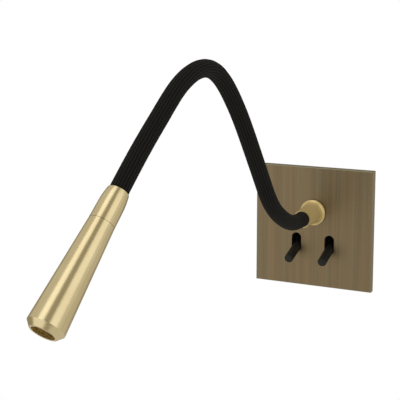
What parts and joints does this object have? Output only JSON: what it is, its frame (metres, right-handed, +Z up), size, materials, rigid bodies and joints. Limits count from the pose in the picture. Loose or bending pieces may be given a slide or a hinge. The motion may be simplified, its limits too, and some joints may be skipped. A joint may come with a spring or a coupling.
{
  "type": "wall reading lamp",
  "caption": "Square wall plate with toggle switches and a sleeved gooseneck that leaves a flared collar, arches over and ends in a slim turned reading head.",
  "frame": {"origin": "middle of the square plate, on the surface of the wall", "axes": "+X to the right seen from the room, +Y into the wall, +Z up"},
  "size_m": [0.08, 0.3128, 0.1596],
  "materials": {
    "antique_brass": "vertically brushed, bronzed",
    "satin_brass": "satin turned",
    "black_braid": "braided textile sleeve",
    "wound_steel": "spring steel strip",
    "lead_sheath": "smooth",
    "black_lever": "satin moulded",
    "switch_moulding": "moulded",
    "housing_moulding": "moulded",
    "zinc_steel": "zinc plated",
    "contact_brass": "plain",
    "magnet_nickel": "nickel plated",
    "fibre_washer": "pressed fibre",
    "grommet_rubber": "moulded",
    "circuit_board": "solder mask",
    "sink_aluminium": "machined",
    "board_aluminium": "white solder mask",
    "chip_phosphor": "phosphor",
    "reflector_metal": "bright turned",
    "lens_glass": "clear"
  },
  "bodies": {
    "wall_base": {"cable_grommet": "grommet_rubber", "collar_washer": "fibre_washer", "driver_board": "circuit_board", "driver_case": "housing_moulding", "driver_lid": "housing_moulding", "front_plate": "antique_brass", "housing_screws": "zinc_steel", "led_lead_1": "lead_sheath", "neck_collar": "satin_brass", "neck_core_1": "wound_steel", "neck_sleeve_1": "black_braid", "neck_stem": "zinc_steel", "plate_magnets": "magnet_nickel", "rear_housing": "housing_moulding", "stem_nut": "zinc_steel", "stem_washer": "zinc_steel", "support_frame": "zinc_steel", "switch_body_left": "switch_moulding", "switch_body_right": "switch_moulding", "switch_contacts_left": "contact_brass", "switch_contacts_right": "contact_brass", "switch_pins": "zinc_steel", "terminal_block": "switch_moulding", "terminal_screws": "zinc_steel"},
    "toggle_left": {"plunger_left": "switch_moulding", "plunger_spring_left": "zinc_steel", "toggle_lever_left": "black_lever"},
    "toggle_right": {"plunger_right": "switch_moulding", "plunger_spring_right": "zinc_steel", "toggle_lever_right": "black_lever"},
    "rocker_left": {"rocker_contact_left": "contact_brass"},
    "rocker_right": {"rocker_contact_right": "contact_brass"},
    "neck_2": {"led_lead_2": "lead_sheath", "neck_core_2": "wound_steel", "neck_sleeve_2": "black_braid"},
    "neck_3": {"led_lead_3": "lead_sheath", "neck_core_3": "wound_steel", "neck_sleeve_3": "black_braid"},
    "neck_4": {"led_lead_4": "lead_sheath", "neck_core_4": "wound_steel", "neck_sleeve_4": "black_braid"},
    "neck_5": {"led_lead_5": "lead_sheath", "neck_core_5": "wound_steel", "neck_sleeve_5": "black_braid"},
    "neck_6": {"led_lead_6": "lead_sheath", "neck_core_6": "wound_steel", "neck_sleeve_6": "black_braid"},
    "reading_head": {"head_shell": "satin_brass", "heat_sink": "sink_aluminium", "led_board": "board_aluminium", "led_chip": "chip_phosphor", "led_lead_7": "lead_sheath", "lens": "lens_glass", "lens_ring": "reflector_metal", "neck_core_7": "wound_steel", "neck_sleeve_7": "black_braid", "neck_socket": "contact_brass", "rear_cap": "satin_brass", "reflector": "reflector_metal"}
  },
  "joints": [
    {"name": "toggle_left_tilt", "type": "hinge", "parent": "wall_base", "child": "toggle_left", "pos_m": [-0.01135, 0.006, -0.0112], "axis": [-1, 0, 0], "range_deg": [0, 33.4]},
    {"name": "rocker_left_tilt", "type": "hinge", "parent": "wall_base", "child": "rocker_left", "pos_m": [-0.01135, 0.0156, -0.0112], "axis": [-1, 0, 0], "range_deg": [-16, 0]},
    {"name": "toggle_right_tilt", "type": "hinge", "parent": "wall_base", "child": "toggle_right", "pos_m": [0.01135, 0.006, -0.0112], "axis": [-1, 0, 0], "range_deg": [0, 33.4]},
    {"name": "rocker_right_tilt", "type": "hinge", "parent": "wall_base", "child": "rocker_right", "pos_m": [0.01135, 0.0156, -0.0112], "axis": [-1, 0, 0], "range_deg": [-16, 0]},
    {"name": "bend_1_lift", "type": "hinge", "parent": "wall_base", "child": "neck_2", "pos_m": [0, -0.06391, 0.01816], "axis": [-0.9938, 0.1005, -0.0482], "range_deg": [-25, 25]},
    {"name": "bend_2_side", "type": "hinge", "parent": "neck_2", "child": "neck_3", "pos_m": [-0.00291, -0.08377, 0.03671], "axis": [0.0635, 0.8654, 0.497], "range_deg": [-25, 25]},
    {"name": "bend_3_lift", "type": "hinge", "parent": "neck_3", "child": "neck_4", "pos_m": [-0.00696, -0.10563, 0.07468], "axis": [-0.9938, 0.1005, -0.0482], "range_deg": [-25, 25]},
    {"name": "bend_4_side", "type": "hinge", "parent": "neck_4", "child": "neck_5", "pos_m": [-0.01034, -0.12571, 0.10243], "axis": [0.0432, 0.7456, 0.665], "range_deg": [-25, 25]},
    {"name": "bend_5_lift", "type": "hinge", "parent": "neck_5", "child": "neck_6", "pos_m": [-0.01441, -0.16133, 0.11209], "axis": [-0.9938, 0.1005, -0.0482], "range_deg": [-25, 25]},
    {"name": "bend_6_side", "type": "hinge", "parent": "neck_6", "child": "reading_head", "pos_m": [-0.01619, -0.18543, 0.09856], "axis": [-0.1018, -0.643, 0.7591], "range_deg": [-25, 25]}
  ],
  "couplings": [
    {"joint": "rocker_left_tilt", "follows": "toggle_left_tilt", "ratio": -0.479},
    {"joint": "rocker_right_tilt", "follows": "toggle_right_tilt", "ratio": -0.479}
  ]
}
